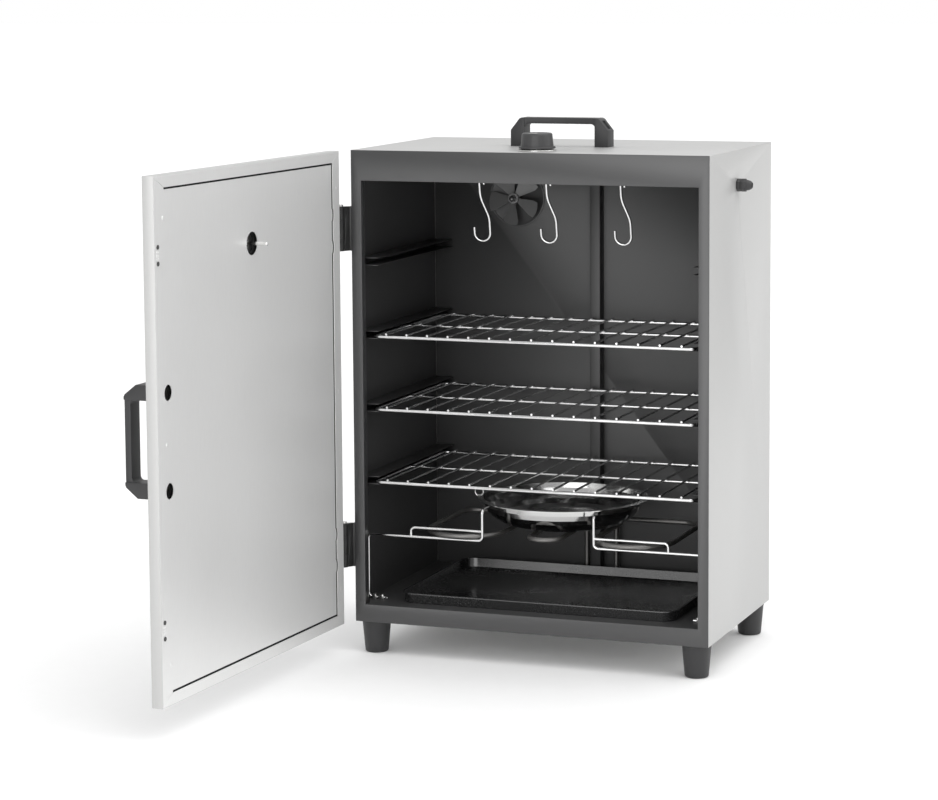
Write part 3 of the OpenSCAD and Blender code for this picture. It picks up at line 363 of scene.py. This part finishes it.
CAMERA_AZIMUTH = 20.609
CAMERA_PITCH = 6.628
CAMERA_ROLL = -0.395
CAMERA_PLACE = (1.2829, -3.7828, 0.9341)
PICTURE_WIDTH = 938
FOCAL_LENGTH = 2930.35  # in the same units as PICTURE_WIDTH
CENTRE_SHIFT = 94  # how far the lens axis lies above the picture's middle, in the same units
SENSOR_WIDTH = 36.0


def make_camera():
    cam_data = bpy.data.cameras.new("camera")
    cam = bpy.data.objects.new("camera", cam_data)
    bpy.context.scene.collection.objects.link(cam)
    bpy.context.scene.camera = cam
    az = math.radians(CAMERA_AZIMUTH)
    pitch = math.radians(CAMERA_PITCH)
    roll = math.radians(CAMERA_ROLL)
    forward = Vector((-math.sin(az) * math.cos(pitch), math.cos(az) * math.cos(pitch), -math.sin(pitch)))
    level_right = Vector((math.cos(az), math.sin(az), 0))
    level_up = level_right.cross(forward)
    right = math.cos(roll) * level_right + math.sin(roll) * level_up
    up = -math.sin(roll) * level_right + math.cos(roll) * level_up
    cam.matrix_world = Matrix((
        (right.x, up.x, -forward.x, CAMERA_PLACE[0]),
        (right.y, up.y, -forward.y, CAMERA_PLACE[1]),
        (right.z, up.z, -forward.z, CAMERA_PLACE[2]),
        (0, 0, 0, 1),
    ))
    cam_data.sensor_fit = "HORIZONTAL"
    cam_data.sensor_width = SENSOR_WIDTH
    cam_data.lens = FOCAL_LENGTH / PICTURE_WIDTH * SENSOR_WIDTH
    cam_data.shift_y = -CENTRE_SHIFT / PICTURE_WIDTH
    cam_data.clip_end = 60


FLOOR_HALF = 40.0
FLOOR_Z = -0.0004


def make_floor():
    bm = bmesh.new()
    corners = ((-1, -1), (1, -1), (1, 1), (-1, 1))
    bm.faces.new([bm.verts.new((x * FLOOR_HALF, y * FLOOR_HALF, FLOOR_Z)) for x, y in corners])
    mesh = bpy.data.meshes.new("floor")
    bm.to_mesh(mesh)
    bm.free()
    o = bpy.data.objects.new("floor", mesh)
    bpy.context.scene.collection.objects.link(o)
    m = surface("floor_pale", (0.93, 0.93, 0.93), rough=0.8, vary=0.01, blotch=0.5, grain=40, bump=0.01)
    mesh.materials.append(m)


def area_light(name, place, target, size, power, size_y=None):
    data = bpy.data.lights.new(name, "AREA")
    data.energy = power
    data.shape = "RECTANGLE"
    data.size = size
    data.size_y = size_y or size
    o = bpy.data.objects.new(name, data)
    bpy.context.scene.collection.objects.link(o)
    o.location = place
    o.rotation_euler = (Vector(target) - Vector(place)).to_track_quat("-Z", "Y").to_euler()


def sun_light(name, towards, power, angle):
    data = bpy.data.lights.new(name, "SUN")
    data.energy = power
    data.angle = math.radians(angle)
    o = bpy.data.objects.new(name, data)
    bpy.context.scene.collection.objects.link(o)
    o.rotation_euler = Vector(towards).to_track_quat("Z", "Y").to_euler()


def make_light():
    w = bpy.data.worlds.new("studio")
    bpy.context.scene.world = w
    w.use_nodes = True
    t = w.node_tree
    bg = t.nodes["Background"]
    bg.inputs["Color"].default_value = (1, 1, 1, 1)
    bg.inputs["Strength"].default_value = 0.62
    # the camera sees a clean white room, the object is lit by a slightly dimmer one
    seen = t.nodes.new("ShaderNodeBackground")
    seen.inputs["Color"].default_value = (1, 1, 1, 1)
    seen.inputs["Strength"].default_value = 1.0
    path = t.nodes.new("ShaderNodeLightPath")
    mix = t.nodes.new("ShaderNodeMixShader")
    link(t, path.outputs["Is Camera Ray"], mix.inputs["Fac"])
    link(t, bg.outputs[0], mix.inputs[1])
    link(t, seen.outputs[0], mix.inputs[2])
    link(t, mix.outputs[0], t.nodes["World Output"].inputs["Surface"])
    area_light("front_card", (0.05, -3.5, 1.0), (0.1, 0, 0.30), 2.3, 30, 2.0)
    area_light("side_card", (3.0, 0.6, 1.0), (0.2, 0, 0.35), 1.8, 12)
    sun_light("sky_right", (0.55, -0.15, 1.0), 1.5, 70)
    sun_light("sky_back", (-0.2, 0.5, 1.0), 0.7, 90)
    bpy.context.scene.view_settings.view_transform = "Standard"


make_camera()
make_floor()
make_light()


# ---------------------------------------------------------------- sheet metal and frames

for node, width in (
    ("side_left", 0.0005), ("side_right", 0.0005), ("top_panel", 0.0005), ("back_panel", 0.0004),
    ("base_panel", 0.0004), ("floor_panel", 0.0004), ("front_frame", 0.0005),
    ("back_channel", 0.0005), ("runners_1", 0.0003), ("runners_2", 0.0003), ("runners_3", 0.0003),
    ("runners_4", 0.0003), ("drip_tray", 0.0004), ("motor_cover", 0.0005), ("guard_clips", 0.0004),
    ("heater_plate", 0.0004), ("rod_sockets", 0.0004), ("fan_motor", 0.0006),
    ("gland_body", 0.0004), ("gland_cap", 0.0003), ("gland_locknut", 0.0003),
    ("hinge_cabinet_leaves", 0.0005), ("hinge_door_leaves", 0.0005), ("hinge_pins", 0.0004),
    ("thermometer_nut", 0.0003), ("control_body", 0.0006), ("control_bezel", 0.0004),
    ("top_handle", 0.0009), ("door_handle", 0.0009),
    ("foot_front_left", 0.0007), ("foot_front_right", 0.0007),
    ("foot_rear_left", 0.0007), ("foot_rear_right", 0.0007),
):
    softened(node, width)


COAT_THICKNESS = 0.00018
ACROSS = Matrix(((0, 0, 1, 0), (1, 0, 0, 0), (0, 1, 0, 0), (0, 0, 0, 1)))


def wall_coat(name, panel, inner, outwards):
    """The dark paint that covers the inside of a side panel, whose inner face is at x = inner."""
    low_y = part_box(panel)[0].y + 0.0013
    high_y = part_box("back_panel")[0].y - 0.0001
    low_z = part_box("floor_panel")[1].z
    high_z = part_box("ceiling_panel")[0].z
    x0, x1 = sorted((inner, inner - outwards * COAT_THICKNESS))
    outline = [(low_y, low_z), (high_y, low_z), (high_y, high_z), (low_y, high_z)]
    bm = bmesh.new()
    prism(bm, outline, x0, x1, ACROSS)
    new_object(name, bm, "chamber_steel", "cabinet", smooth=False)


wall_coat("wall_coat_left", "side_left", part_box("runners_4")[0].x, -1)
wall_coat("wall_coat_right", "side_right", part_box("runners_4")[1].x, 1)


# ---------------------------------------------------------------- places on the door

DOOR_LO, DOOR_HI = closed_box("door_shell")
PANEL_LO, PANEL_HI = closed_box("door_inner")
DOOR_SHEET = 0.001
PANEL_GAP = 0.0025
FREE_FLANGE_WIDTH = 0.025
HINGE_SIDE_WIDTH = 0.05
HANDLE_HALF_PITCH = 0.060

# Flat pieces are drawn in x and z of the shut door, with depth growing from its inner face outwards
DOOR_FACE = SWING @ Matrix.Translation((0, DOOR_HI.y, 0)) @ UPRIGHT


def islands(node):
    """Vertex index groups of the separate solids of a CAD node."""
    mesh = NODES[node].data
    bm = bmesh.new()
    bm.from_mesh(mesh)
    bm.verts.ensure_lookup_table()
    key = {}
    parent = list(range(len(bm.verts)))

    def find(i):
        while parent[i] != i:
            parent[i] = parent[parent[i]]
            i = parent[i]
        return i

    for v in bm.verts:
        c = (round(v.co.x, 5), round(v.co.y, 5), round(v.co.z, 5))
        if c in key:
            parent[find(v.index)] = find(key[c])
        else:
            key[c] = v.index
    for e in bm.edges:
        parent[find(e.verts[0].index)] = find(e.verts[1].index)
    groups = {}
    for i in range(len(bm.verts)):
        groups.setdefault(find(i), []).append(i)
    bm.free()
    return list(groups.values())


def magnet_zs():
    """Heights of the magnets' middles."""
    vertices = NODES["door_magnets"].data.vertices
    found = set()
    for group in islands("door_magnets"):
        heights = [(UNSWING @ vertices[i].co).z for i in group]
        found.add(round((min(heights) + max(heights)) / 2, 4))
    return sorted(found)


def hinge_screw_zs():
    """Heights of the door's screws beside its hinges."""
    vertices = NODES["door_screws"].data.vertices
    found = set()
    for group in islands("door_screws"):
        middle = sum((vertices[i].co for i in group), Vector()) / len(group)
        if (UNSWING @ vertices[group[0]].co).x < DOOR_LO.x + HINGE_SIDE_WIDTH:
            found.add(round((UNSWING @ middle).z, 4))
    return sorted(found)


def gauge_hole(r):
    lo, hi = closed_box("thermometer_case")
    return [((lo.x + hi.x) / 2, (lo.z + hi.z) / 2, r)]


def handle_holes(r):
    lo, hi = closed_box("door_handle")
    x = (lo.x + hi.x) / 2
    middle = (lo.z + hi.z) / 2
    return [(x, middle - HANDLE_HALF_PITCH, r), (x, middle + HANDLE_HALF_PITCH, r)]


# ---------------------------------------------------------------- door

LOBE_HALF = 0.0085
LOBE_DEPTH = 0.0028
LOBE_STEPS = 12
MITRE_GAP = 0.00022
RIM = 0.0006
FOLD_RADIUS = 0.0018
FOLD_STEPS = 6


def lobed_edge(x):
    """Points up a vertical edge, with a shallow round bulge beside each hinge screw."""
    points = []
    for z in hinge_screw_zs():
        for i in range(LOBE_STEPS + 1):
            a = math.pi * i / LOBE_STEPS
            points.append((x - LOBE_DEPTH * math.sin(a), z - LOBE_HALF * math.cos(a)))
    return points


def cut_holes(o, holes):
    """Cuts round holes, each (x, z, radius), through a flat piece of the door."""
    for x, z, r in holes:
        bm = bmesh.new()
        prism(bm, circle(x, z, r), -0.004, 0.008, DOOR_FACE)
        bmesh.ops.recalc_face_normals(bm, faces=bm.faces)
        mesh = bpy.data.meshes.new("cut")
        bm.to_mesh(mesh)
        bm.free()
        cutter = bpy.data.objects.new("cut", mesh)
        bpy.context.scene.collection.objects.link(cutter)
        mod = o.modifiers.new("hole", "BOOLEAN")
        mod.object = cutter
        mod.operation = "DIFFERENCE"
        mod.solver = "EXACT"
        apply_modifiers(o)
        bpy.data.objects.remove(cutter)


def flange_corners():
    """Outer and inner corners of the flanges, as (x0, x1, z0, z1) of each."""
    outer = (DOOR_LO.x, DOOR_HI.x, DOOR_LO.z, DOOR_HI.z)
    inner = (PANEL_LO.x - PANEL_GAP, DOOR_HI.x - FREE_FLANGE_WIDTH,
             PANEL_LO.z - PANEL_GAP, PANEL_HI.z + PANEL_GAP)
    return outer, inner


def door_flanges():
    """Top, bottom and hinge-side flanges, with their mitred corners a hair apart."""
    (x0, x1, z0, z1), (fx0, fx1, fz0, fz1) = flange_corners()
    s = MITRE_GAP
    k = RIM
    top = [(x0 + k, z1 - s - k), (fx0 + s, fz1), (fx1 - s, fz1),
           (x1 - k, z1 - s - k), (x1 - k, z1 - k), (x0 + k, z1 - k)]
    bottom = [(x0 + k, z0 + k), (x1 - k, z0 + k), (x1 - k, z0 + s + k),
              (fx1 - s, fz0), (fx0 + s, fz0), (x0 + k, z0 + s + k)]
    hinge_side = [(x0 + k, z0 + 2 * s + k), (fx0, fz0 + s)]
    hinge_side += lobed_edge(fx0)
    hinge_side += [(fx0, fz1 - s), (x0 + k, z1 - 2 * s - k)]
    bm = bmesh.new()
    for outline in (top, bottom, hinge_side):
        prism(bm, outline, 0, DOOR_SHEET, DOOR_FACE)
    o = new_object("door_flanges", bm, "door_steel", "door", smooth=False)
    bevelled(o, 0.0002, 1)


def door_flange_free():
    """The free side's flange, which carries the magnets and lets the handle's screws be reached."""
    (x0, x1, z0, z1), (fx0, fx1, fz0, fz1) = flange_corners()
    s = MITRE_GAP
    k = RIM
    outline = [(x1 - k, z0 + 2 * s + k), (x1 - k, z1 - 2 * s - k), (fx1, fz1 - s), (fx1, fz0 + s)]
    bm = bmesh.new()
    prism(bm, outline, 0, DOOR_SHEET, DOOR_FACE)
    o = new_object("door_flange_free", bm, "door_steel", "door", smooth=False)
    cut_holes(o, handle_holes(0.010))
    bevelled(o, 0.0002, 1)


def door_inner_panel():
    """The inner panel, with round lobes beside the hinge screws."""
    outline = [(PANEL_LO.x, PANEL_LO.z)]
    outline += lobed_edge(PANEL_LO.x)
    outline += [(PANEL_LO.x, PANEL_HI.z), (PANEL_HI.x, PANEL_HI.z), (PANEL_HI.x, PANEL_LO.z)]
    bm = bmesh.new()
    prism(bm, outline, DOOR_SHEET, 2 * DOOR_SHEET, DOOR_FACE)
    o = new_object("door_inner_panel", bm, "door_steel", "door", smooth=False)
    cut_holes(o, gauge_hole(0.015) + handle_holes(0.010))
    for p in o.data.polygons:
        p.use_smooth = False
    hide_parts("door_inner")


def join_rings(bm, a, b):
    for i in range(4):
        bm.faces.new((a[i], a[(i + 1) % 4], b[(i + 1) % 4], b[i]))


def door_pan():
    """The outer pan: the front sheet and four edges, rounded where they fold."""
    bm = bmesh.new()
    depth = DOOR_HI.y - DOOR_LO.y
    r = FOLD_RADIUS

    def ring(inset, z):
        x0, x1 = DOOR_LO.x + inset, DOOR_HI.x - inset
        z0, z1 = DOOR_LO.z + inset, DOOR_HI.z - inset
        corners = ((x0, z0), (x1, z0), (x1, z1), (x0, z1))
        return [bm.verts.new(DOOR_FACE @ Vector((x, y, z))) for x, y in corners]

    profile = [(RIM, 0.0), (0.0, RIM), (0.0, depth - r)]
    for i in range(1, FOLD_STEPS + 1):
        a = math.pi / 2 * i / FOLD_STEPS
        profile.append((r - r * math.cos(a), depth - r + r * math.sin(a)))
    rings = [ring(inset, z) for inset, z in profile]
    for a, b in zip(rings, rings[1:]):
        join_rings(bm, a, b)
    bm.faces.new(rings[-1])
    inner_low = ring(DOOR_SHEET, DOOR_SHEET)
    inner_high = ring(DOOR_SHEET, depth - DOOR_SHEET)
    join_rings(bm, inner_high, inner_low)
    bm.faces.new(list(reversed(inner_high)))
    join_rings(bm, inner_low, rings[0])
    o = new_object("door_pan", bm, "outer_steel", "door", angle=50)
    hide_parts("door_shell")


def door_shade_sheet():
    """A dark sheet inside the door, painted shade that shows through the gap round the inner panel."""
    edge = 0.003
    free_edge = 0.03
    x0, x1 = DOOR_LO.x + edge, DOOR_HI.x - free_edge
    z0, z1 = DOOR_LO.z + edge, DOOR_HI.z - edge
    bm = bmesh.new()
    prism(bm, [(x0, z0), (x1, z0), (x1, z1), (x0, z1)], 0.0062, 0.0068, DOOR_FACE)
    # painted shade: this dark sheet stands for the shade inside the door
    o = new_object("door_shade_sheet", bm, "painted_gap_shade", "door", smooth=False)
    cut_holes(o, gauge_hole(0.013) + handle_holes(0.0125))


WELD_RADIUS = 0.0028
WELD_HEIGHT = 0.00055
WELD_STEPS = 6
# Distance from the door's hinge edge, and height
WELDS = ((0.478, 0.638), (0.478, 0.364), (0.478, 0.094), (0.0095, 0.366), (0.0095, 0.094), (0.0095, 0.64))


def door_spot_welds():
    """Pressed spot welds on the flanges."""
    profile = [(WELD_RADIUS, 0.00002)]
    for i in range(1, WELD_STEPS + 1):
        a = i * math.pi / 2 / WELD_STEPS
        profile.append((WELD_RADIUS * math.cos(a), WELD_HEIGHT * math.sin(a)))
    bm = bmesh.new()
    for x, z in WELDS:
        place = Matrix.Translation((DOOR_LO.x + x, z, 0.0)) @ Matrix.Rotation(math.pi, 4, "X")
        lathe(bm, profile, DOOR_FACE @ place, 24)
    new_object("door_spot_welds", bm, "door_steel", "door")


RIB_HALF_WIDTH = 0.0007
RIB_HALF_HEIGHT = 0.0018
RIB_TURN = 24


def magnet_ribs():
    """Two columns of three short slanted ribs on each magnet strike."""
    w = RIB_HALF_WIDTH
    h = RIB_HALF_HEIGHT
    outline = [(-w, -h), (w, -h), (w, h), (-w, h)]
    turn = Matrix.Rotation(math.radians(RIB_TURN), 4, "Z")
    bm = bmesh.new()
    for middle in magnet_zs():
        for row in (-1, 0, 1):
            for column in (-1, 1):
                x = DOOR_HI.x - 0.008 + column * 0.0018
                place = Matrix.Translation((x, middle + row * 0.0042, 0))
                prism(bm, outline, -0.0005, 0.0002, DOOR_FACE @ place @ turn)
    o = new_object("magnet_ribs", bm, "door_steel", "door", smooth=False)
    bevelled(o, 0.0003, 2)


door_flanges()
door_flange_free()
door_inner_panel()
door_pan()
door_shade_sheet()
door_spot_welds()
magnet_ribs()


# ---------------------------------------------------------------- knob and dial

KNOB_STEPS = 180
KNOB_FLUTES = 30
FLUTE_DEPTH = 0.00012


def knob():
    lo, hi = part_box("control_knob")
    cx, cy = (lo.x + hi.x) / 2, (lo.y + hi.y) / 2
    r0, h = (hi.x - lo.x) / 2, hi.z - lo.z
    bm = bmesh.new()
    prof = [(0.0001, 0.0), (r0 * 0.92, 0.0), (r0, 0.0006), (r0, h * 0.11), (r0 * 0.985, h * 0.15),
            (r0 * 0.90, h * 0.17), (r0 * 0.885, h * 0.30), (r0 * 0.86, h * 0.55), (r0 * 0.835, h * 0.86),
            (r0 * 0.82, h * 0.94), (r0 * 0.77, h * 0.99), (r0 * 0.70, h), (r0 * 0.66, h - 0.0006),
            (0.0001, h - 0.0006)]
    rings = []
    for i in range(KNOB_STEPS):
        a = 2 * math.pi * i / KNOB_STEPS
        flute = 0.5 + 0.5 * math.cos(a * KNOB_FLUTES)
        ring = []
        for k, (r, z) in enumerate(prof):
            if 5 <= k <= 9:
                r -= FLUTE_DEPTH * flute ** 3
            ring.append(bm.verts.new((cx + r * math.cos(a), cy + r * math.sin(a), lo.z + z)))
        rings.append(ring)
    for i in range(KNOB_STEPS):
        p, q = rings[i], rings[(i + 1) % KNOB_STEPS]
        for k in range(len(prof) - 1):
            bm.faces.new((p[k], q[k], q[k + 1], p[k + 1]))
    bm.faces.new([r[0] for r in reversed(rings)])
    bm.faces.new([r[-1] for r in rings])
    o = new_object("knob_cap", bm, "knob_plastic", "knob", angle=40)
    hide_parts("control_knob")
    # raised bar across the top that points at the setting
    bm = bmesh.new()
    outline = [(-0.0009, 0), (0.0009, 0), (0.0006, r0 * 0.60), (-0.0006, r0 * 0.60)]
    m = Matrix.Translation((cx, cy, 0)) @ Matrix.Rotation(math.radians(150), 4, "Z")
    prism(bm, outline, hi.z - 0.0008, hi.z - 0.0002, m)
    new_object("knob_mark", bm, "white_plastic", "knob", smooth=False)


def text_mesh(name, words, height, matrix, depth, mat, body):
    c = bpy.data.curves.new(name, "FONT")
    c.body = words
    c.size = height
    c.extrude = depth
    c.align_x = "CENTER"
    c.align_y = "CENTER"
    tmp = bpy.data.objects.new(name + "_tmp", c)
    bpy.context.scene.collection.objects.link(tmp)
    dg = bpy.context.evaluated_depsgraph_get()
    dg.update()
    mesh = bpy.data.meshes.new_from_object(tmp.evaluated_get(dg))
    bm = bmesh.new()
    bm.from_mesh(mesh)
    bmesh.ops.remove_doubles(bm, verts=bm.verts, dist=0.000001)
    for v in bm.verts:
        v.co = matrix @ v.co
    bpy.data.objects.remove(tmp)
    bpy.data.meshes.remove(mesh)
    return new_object(name, bm, mat, body, smooth=False)


DIAL_START = 225
TICK_STEP = 4.5
TICKS = 60
NUMBER_STEP = 45
NUMBERS = 7
SCALE_RADIUS = 0.93
ARC_RADIUS = 0.945


def dial_marks():
    """Ticks, arc and numbers of a generic 0 to 300 scale, seen from in front of the door."""
    lo, hi = closed_box("thermometer_dial")
    r = (hi.x - lo.x) / 2
    face = SWING @ Matrix.Translation(((lo.x + hi.x) / 2, lo.y, (lo.z + hi.z) / 2)) @ UPRIGHT
    bm = bmesh.new()
    for i in range(TICKS + 1):
        major = i % 10 == 0
        m = face @ Matrix.Rotation(math.radians(DIAL_START - i * TICK_STEP), 4, "Z")
        w = 0.00045 if major else 0.0002
        r0 = r * (0.78 if major else 0.86)
        r1 = r * SCALE_RADIUS
        prism(bm, [(r0, -w), (r1, -w), (r1, w), (r0, w)], -0.00005, 0.00012, m)
    new_object("dial_ticks", bm, "dial_ink", "door", smooth=False)
    bm = bmesh.new()
    for i in range(TICKS):
        a0 = math.radians(DIAL_START - i * TICK_STEP)
        a1 = math.radians(DIAL_START - (i + 1) * TICK_STEP)
        r0 = r * SCALE_RADIUS
        r1 = r * ARC_RADIUS
        outline = [(r0 * math.cos(a0), r0 * math.sin(a0)), (r1 * math.cos(a0), r1 * math.sin(a0)),
                   (r1 * math.cos(a1), r1 * math.sin(a1)), (r0 * math.cos(a1), r0 * math.sin(a1))]
        prism(bm, outline, -0.00005, 0.0001, face)
    new_object("dial_arc", bm, "dial_ink", "door", smooth=False)
    for i in range(NUMBERS):
        a = math.radians(DIAL_START - i * NUMBER_STEP)
        m = face @ Matrix.Translation((r * 0.60 * math.cos(a), r * 0.60 * math.sin(a), 0.0))
        text_mesh("dial_number_%d" % i, str(i * 50), r * 0.20, m, 0.00008, "dial_ink", "door")


knob()
dial_marks()

bpy.context.view_layer.update()
